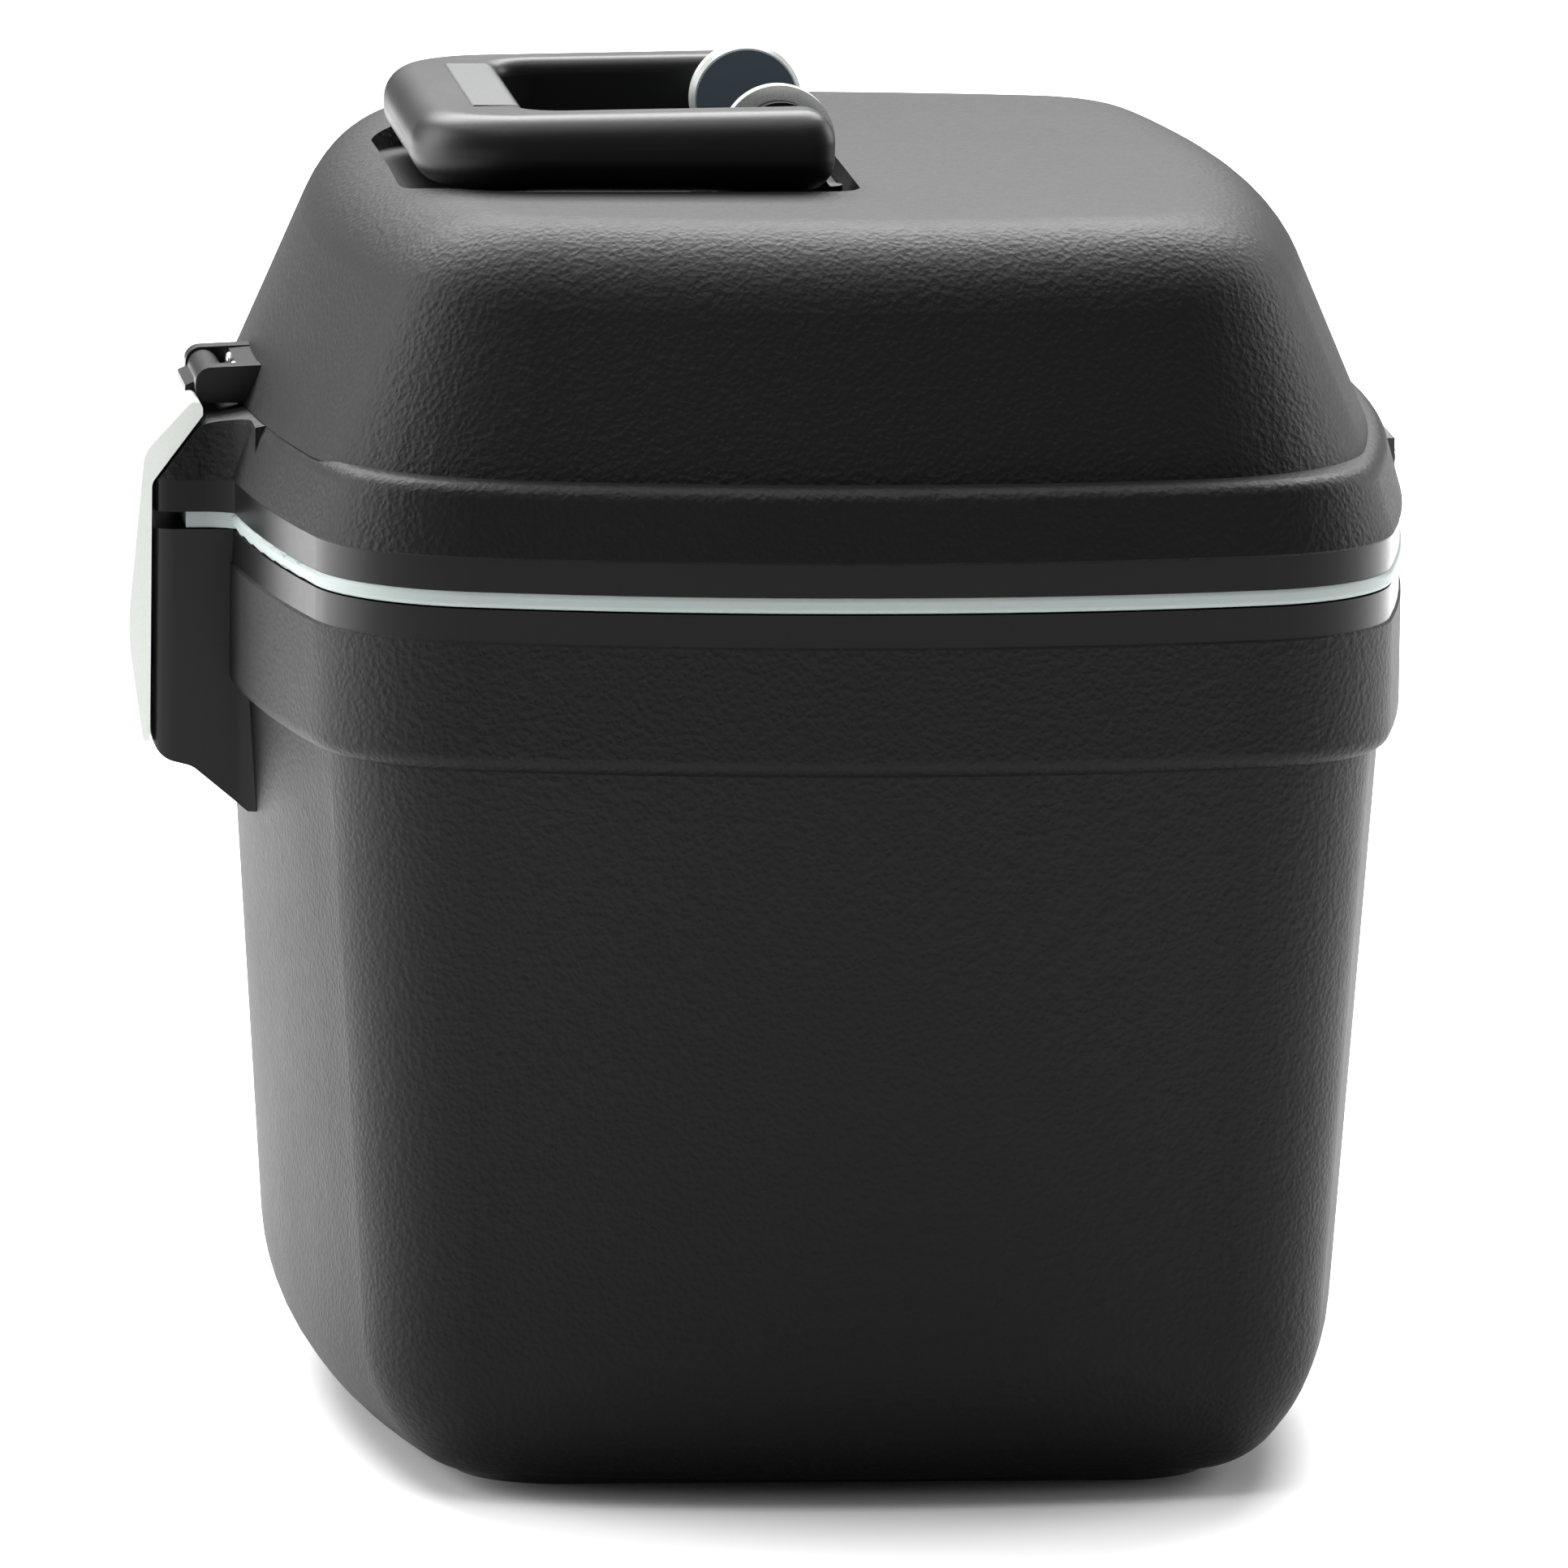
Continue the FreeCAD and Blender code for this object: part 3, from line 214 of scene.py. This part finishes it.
insert = Finish("insert_rubber", Specular_IOR_Level=0.35)
insert_place = insert.place()
pebble = insert.node("ShaderNodeTexVoronoi", {"feature": "F1"}, {"Vector": insert_place, "Scale": 900.0})
insert_cloud = insert.noise(insert_place, 40.0, 3.0)
insert.feed("Base Color", insert.blend(insert_cloud, (0.020, 0.021, 0.022, 1), (0.036, 0.037, 0.038, 1)))
insert.feed("Roughness", 0.58 + (insert_cloud - 0.5) * 0.1)
insert.bump(1 - pebble, 0.00010, 0.7)
insert.coat_nodes("grip_insert")

# ---------------------------------------------------------------- pivot rings, pivot caps, handle pins
# Each pivot has a bright sleeve, painted silver over plastic, closed by a slate grey disc that is
# pressed in. The steel pins behind them hold the handle.


def silver_paint(name, dark, light, roughness):
    finish = Finish(name, Metallic=0.35, Specular_IOR_Level=0.5)
    where = finish.place()
    flakes = finish.node("ShaderNodeTexVoronoi", {"feature": "F1"}, {"Vector": where, "Scale": 5200.0}, 1)
    sparkle = finish.node("ShaderNodeSeparateColor", {}, {0: flakes})
    cloud = finish.noise(where, 36.0, 3.0)
    finish.feed("Base Color", finish.blend(sparkle * 0.5 + cloud * 0.5, dark, light))
    finish.feed("Roughness", roughness + (sparkle - 0.5) * 0.08 + (cloud - 0.5) * 0.06)
    finish.bump(finish.noise(where, 700.0, 2.0), 0.00002, 0.4)
    return finish


silver_paint("ring_silver", (0.56, 0.59, 0.57, 1), (0.70, 0.73, 0.70, 1), 0.30).coat_nodes("pivot_rings")
slate = smooth_plastic("slate_plastic", (0.086, 0.118, 0.142, 1), (0.106, 0.142, 0.168, 1), 0.42)
slate.coat_nodes("pivot_caps")

# ---------------------------------------------------------------- latch
# The draw latch is a black lever with a pale silver cover clipped over it. It hooks into the smooth
# black housing on the casing, and hangs from a black ear block on the lid.

silver_paint("cover_silver", (0.60, 0.63, 0.60, 1), (0.72, 0.75, 0.71, 1), 0.34).coat_nodes("latch_face")
latch_black = smooth_plastic("latch_plastic", (0.0036, 0.0036, 0.0038, 1), (0.0076, 0.0076, 0.0080, 1),
                             0.34)
latch_black.coat_nodes("latch_housing", "latch_ears", "latch_lever")

# ---------------------------------------------------------------- hinge
# Two leaves of pressed steel with rolled knuckles, powder coated black, screwed to the casing and to
# the lid and joined by one steel pin.

powder = Finish("powder_coat", Specular_IOR_Level=0.5)
powder_place = powder.place()
powder_peel = powder.noise(powder_place, 900.0, 3.0, 0.6)
powder_cloud = powder.noise(powder_place, 30.0, 3.0)
powder.feed("Base Color", powder.blend(powder_cloud, (0.010, 0.010, 0.011, 1), (0.019, 0.019, 0.020, 1)))
powder.feed("Roughness", 0.40 + (powder_peel - 0.5) * 0.16)
powder.bump(powder_peel, 0.00006, 0.8)
powder.coat_nodes("hinge_bracket", "hinge_leaf")

# ---------------------------------------------------------------- screws and pins
# Zinc plated pan-head screws with a cross recess, and plain turned steel pins.


def turned_steel(name, tint, roughness, along):
    """Bright steel, with fine tool marks round one axis."""
    finish = Finish(name, Metallic=1.0)
    where = finish.place()
    stretched = finish.node("ShaderNodeMapping", {}, {"Vector": where, "Scale": along})
    marks = finish.noise(stretched, 1.0, 3.0, 0.6)
    stain = finish.noise(where, 60.0, 4.0, 0.6)
    finish.feed("Base Color", finish.blend(stain, tuple(c * 0.82 for c in tint) + (1,), tint + (1,)))
    finish.feed("Roughness", roughness + (marks - 0.5) * 0.16 + (stain - 0.5) * 0.10)
    finish.bump(marks, 0.00002, 0.6)
    return finish


zinc = turned_steel("zinc_plate", (0.60, 0.60, 0.58), 0.30, (1500.0, 1500.0, 1500.0))
zinc.coat_nodes("hinge_pin", "latch_pin", "handle_pins", "handle_base_screws", "latch_housing_screws")


def islands(name):
    """Boxes of the separate solids in a CAD node."""
    mesh = bmesh.new()
    mesh.from_mesh(cad[name].data)
    bmesh.ops.remove_doubles(mesh, verts=mesh.verts, dist=1e-6)
    left = set(mesh.verts)
    found = []
    while left:
        stack = [left.pop()]
        low = stack[0].co.copy()
        high = stack[0].co.copy()
        while stack:
            vert = stack.pop()
            for axis in range(3):
                low[axis] = min(low[axis], vert.co[axis])
                high[axis] = max(high[axis], vert.co[axis])
            for edge in vert.link_edges:
                other = edge.other_vert(vert)
                if other in left:
                    left.discard(other)
                    stack.append(other)
        found.append((low, high))
    mesh.free()
    return found


def cross_recess(radius, depth):
    """Tapered cross-shaped punch, pointing down from the top of a screw's head."""
    punch = bmesh.new()
    for turn in (0.0, math.pi / 2):
        made = bmesh.ops.create_cube(punch, size=1.0)["verts"]
        for vert in made:
            taper = 1.0 if vert.co.z > 0 else 0.45
            flat = Vector((vert.co.x * radius * 1.25 * taper, vert.co.y * radius * 0.30 * taper, 0))
            flat.rotate(Matrix.Rotation(turn, 3, "Z"))
            vert.co = Vector((flat.x, flat.y, depth * 0.6 if vert.co.z > 0 else -depth))
    mesh = bpy.data.meshes.new("recess")
    punch.to_mesh(mesh)
    punch.free()
    return mesh


def screw_mesh(radius, height, shank, length):
    """Pan head with a rounded edge, a thread of fine rings and a blunt tip, its seat at the origin."""
    profile = [(0.0, height), (radius * 0.55, height), (radius * 0.80, height * 0.90),
               (radius * 0.94, height * 0.66), (radius, height * 0.34), (radius, height * 0.06),
               (radius * 0.97, 0.0), (shank, 0.0)]
    pitch = shank * 0.7
    rings = int((length - shank) / pitch)
    for i in range(rings):
        profile.append((shank, -pitch * (i + 0.35)))
        profile.append((shank * 0.78, -pitch * (i + 0.85)))
    profile += [(shank * 0.45, -length + shank * 0.3), (0.0, -length)]
    body = bmesh.new()
    previous = None
    for r, z in profile:
        verts = [body.verts.new((r, 0, z))]
        if previous:
            body.edges.new((previous, verts[0]))
        previous = verts[0]
    bmesh.ops.spin(body, geom=body.verts[:] + body.edges[:], cent=(0, 0, 0), axis=(0, 0, 1), steps=28,
                   angle=math.tau, use_merge=True)
    bmesh.ops.remove_doubles(body, verts=body.verts, dist=1e-7)
    bmesh.ops.recalc_face_normals(body, faces=body.faces)
    mesh = bpy.data.meshes.new("screw")
    body.to_mesh(mesh)
    body.free()
    blank = bpy.data.objects.new("screw_blank", mesh)
    punch = bpy.data.objects.new("screw_punch", cross_recess(radius * 0.5, height * 0.62))
    bpy.context.scene.collection.objects.link(blank)
    bpy.context.scene.collection.objects.link(punch)
    punch.location.z = height
    cut = blank.modifiers.new("recess", "BOOLEAN")
    cut.object = punch
    cut.operation = "DIFFERENCE"
    cut.solver = "EXACT"
    cut.use_self = True
    bpy.context.view_layer.update()
    done = bpy.data.meshes.new_from_object(blank.evaluated_get(bpy.context.evaluated_depsgraph_get()))
    bpy.data.objects.remove(blank)
    bpy.data.objects.remove(punch)
    return done


def fit_screws(node, body, heading, head_height):
    """Replaces a group of CAD screws, each in the place of one solid, heads facing the heading."""
    heading = Vector(heading)
    axis = max(range(3), key=lambda i: abs(heading[i]))
    across = (axis + 1) % 3
    boxes = islands(node)
    low, high = boxes[0]
    radius = (high[across] - low[across]) / 2
    length = high[axis] - low[axis] - head_height
    one = screw_mesh(radius * 0.995, head_height * 0.99, radius * 0.46, length * 0.97)
    turn = Vector((0, 0, 1)).rotation_difference(heading).to_matrix().to_4x4()
    joined = bmesh.new()
    for i, (low, high) in enumerate(boxes):
        seat = (low + high) / 2
        seat[axis] = high[axis] - head_height if heading[axis] > 0 else low[axis] + head_height
        start = len(joined.verts)
        joined.from_mesh(one)
        joined.verts.ensure_lookup_table()
        spin = Matrix.Rotation(0.7 + i * 2.4, 4, "Z")
        placed = Matrix.Translation(seat) @ turn @ spin
        bmesh.ops.transform(joined, matrix=placed, verts=joined.verts[start:])
    mesh = bpy.data.meshes.new(node + "_detailed")
    joined.to_mesh(mesh)
    joined.free()
    mesh.materials.append(zinc.material)
    piece = bpy.data.objects.new(node + "_detailed", mesh)
    bpy.context.scene.collection.objects.link(piece)
    for polygon in mesh.polygons:
        polygon.use_smooth = True
    mesh.set_sharp_from_angle(angle=math.radians(35))
    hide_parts(node)
    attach(piece, body)


low_head = 0.0014
flat_head = 0.0012
pan_head = 0.0018
fit_screws("hinge_bracket_screws", "base", (0, 1, 0), low_head)
fit_screws("hinge_leaf_screws", "lid", (0, 1, 0), low_head)
fit_screws("latch_ear_screws", "lid", (0, -1, 0), flat_head)
fit_screws("neck_ring_screws", "base", (0, 0, 1), pan_head)
fit_screws("lid_liner_screws", "lid", (0, 0, -1), pan_head)
fit_screws("base_pad_screws", "base", (0, 0, -1), low_head)
fit_screws("pot_lid_knob_screw", "base", (0, 0, -1), pan_head)

# ---------------------------------------------------------------- neck ring and lid liner
# Dark grey plastic panels that close the casing's top round the vessel and the lid from below. They
# are seen with the lid open.

panel = smooth_plastic("panel_plastic", (0.040, 0.041, 0.043, 1), (0.062, 0.063, 0.065, 1), 0.42)
panel.coat_nodes("neck_ring", "lid_liner")

# ---------------------------------------------------------------- gaskets and pads
# The mouth seal and neck gasket are grey silicone. The base pad is black non-slip rubber.

silicone = soft_rubber("silicone", (0.30, 0.30, 0.30, 1), (0.40, 0.40, 0.39, 1), 0.5, 1600.0, 0.00005)
silicone.coat_nodes("mouth_seal", "vessel_neck_gasket")
pad_rubber = soft_rubber("pad_rubber", (0.014, 0.014, 0.014, 1), (0.026, 0.026, 0.026, 1), 0.74, 1100.0,
                         0.00018)
pad_rubber.coat_nodes("base_pad")

# ---------------------------------------------------------------- insulation
# Open-cell foam blocks, buried in the lid and under the vessel.

foam = Finish("foam", Specular_IOR_Level=0.2)
foam_place = foam.place()
pores = foam.node("ShaderNodeTexVoronoi", {"feature": "F1"}, {"Vector": foam_place, "Scale": 480.0})
# Painted shade: the pore hollows of the bump are painted darker in the base colour.
foam.feed("Base Color", foam.blend(pores, (0.50, 0.46, 0.34, 1), (0.72, 0.68, 0.54, 1)))
foam.feed("Roughness", 0.9 - pores * 0.1)
foam.bump(pores, 0.0006, 0.9)
foam.coat_nodes("lid_insulation", "vessel_support_pad")

# ---------------------------------------------------------------- vacuum vessel and cooking pot
# Both are spun and drawn from stainless sheet. The wall shows fine rings from the lathe, the pot's
# fittings are polished, and its knob is black heat-proof plastic.


def spun_steel(name, tint, roughness):
    """Stainless sheet brushed round the vertical axis."""
    finish = Finish(name, Metallic=1.0)
    where = finish.place()
    stretched = finish.node("ShaderNodeMapping", {}, {"Vector": where, "Scale": (9.0, 9.0, 2600.0)})
    rings = finish.noise(stretched, 1.0, 4.0, 0.7)
    spots = finish.noise(where, 16.0, 5.0, 0.6)
    finish.feed("Base Color", finish.blend(spots, tuple(c * 0.9 for c in tint) + (1,), tint + (1,)))
    finish.feed("Roughness", roughness + (rings - 0.5) * 0.22 + (spots - 0.5) * 0.08)
    finish.bump(rings, 0.00003, 0.7)
    return finish


vessel_steel = spun_steel("vessel_steel", (0.56, 0.55, 0.53), 0.30)
vessel_steel.coat_nodes("vessel_outer_wall", "vessel_inner_wall", "vessel_seal_off_cap")
spun_steel("pot_steel", (0.62, 0.61, 0.59), 0.22).coat_nodes("cooking_pot", "pot_lid")
bright_steel = turned_steel("bright_steel", (0.64, 0.63, 0.61), 0.18, (900.0, 900.0, 900.0))
bright_steel.coat_nodes("pot_ears", "pot_rivets", "pot_bail")
knob_black = smooth_plastic("knob_plastic", (0.012, 0.011, 0.011, 1), (0.020, 0.019, 0.019, 1), 0.26)
knob_black.coat_nodes("pot_lid_knob")

# ---------------------------------------------------------------- floor and light
# A plain white floor under four soft boxes: overhead, high on the left-hand side, and one each at
# the latch side and the hinge side.

floor_mesh = bpy.data.meshes.new("floor")
floor_size = 9.0
floor_mesh.from_pydata([(-floor_size, -floor_size, 0), (floor_size, -floor_size, 0),
                        (floor_size, floor_size, 0), (-floor_size, floor_size, 0)], [], [(0, 1, 2, 3)])
floor = bpy.data.objects.new("floor", floor_mesh)
bpy.context.scene.collection.objects.link(floor)
white_floor = Finish("white_floor", Specular_IOR_Level=0.1)
floor_cloud = white_floor.noise(white_floor.place(), 1.2, 2.0)
white_floor.feed("Base Color", white_floor.blend(floor_cloud, (0.90, 0.90, 0.90, 1), (0.93, 0.93, 0.93, 1)))
white_floor.feed("Roughness", 0.85 + (floor_cloud - 0.5) * 0.05)
floor_mesh.materials.append(white_floor.material)

world = bpy.data.worlds.new("studio")
world.use_nodes = True
world.node_tree.nodes["Background"].inputs["Color"].default_value = (1, 1, 1, 1)
world.node_tree.nodes["Background"].inputs["Strength"].default_value = 0.30
bpy.context.scene.world = world


def soft_box(name, place, aim, width, height, power):
    light = bpy.data.lights.new(name, "AREA")
    light.shape = "RECTANGLE"
    light.size = width
    light.size_y = height
    light.energy = power
    lamp = bpy.data.objects.new(name, light)
    lamp.location = place
    lamp.rotation_euler = (Vector(aim) - Vector(place)).to_track_quat("-Z", "Y").to_euler()
    lamp.visible_camera = False
    bpy.context.scene.collection.objects.link(lamp)


soft_box("top_box", (-0.5, -0.3, 2.9), (-0.1, -0.1, 0.2), 3.4, 3.4, 150)
soft_box("back_box", (-2.3, 0.0, 2.7), (0, 0, 0.3), 4.0, 1.8, 330)
soft_box("front_side_box", (-0.9, -2.6, 1.0), (0, 0, 0.2), 1.8, 2.0, 90)
soft_box("hinge_side_box", (-1.4, 2.6, 1.1), (0, 0, 0.2), 1.4, 1.8, 45)

# ---------------------------------------------------------------- camera
# Level with the middle of the body on its right-hand side, far off with a long lens.

azimuth = math.radians(84.2)
elevation = math.radians(9.18)
roll = math.radians(0.75)
distance = 5.0
target = Vector((0, -0.00302, 0.15479))
back = Vector((math.sin(azimuth) * math.cos(elevation), -math.cos(azimuth) * math.cos(elevation),
               math.sin(elevation)))
right = (-back).cross(Vector((0, 0, 1))).normalized()
up = right.cross(-back)
tilted_right = right * math.cos(roll) + up * math.sin(roll)
tilted_up = up * math.cos(roll) - right * math.sin(roll)
lens = bpy.data.cameras.new("camera")
lens.sensor_width = 36.0
lens.lens = 453.1
camera = bpy.data.objects.new("camera", lens)
camera.matrix_world = Matrix((
    (tilted_right.x, tilted_up.x, back.x, target.x + back.x * distance),
    (tilted_right.y, tilted_up.y, back.y, target.y + back.y * distance),
    (tilted_right.z, tilted_up.z, back.z, target.z + back.z * distance),
    (0, 0, 0, 1)))
bpy.context.scene.collection.objects.link(camera)
bpy.context.scene.camera = camera
bpy.context.scene.view_settings.view_transform = "Standard"
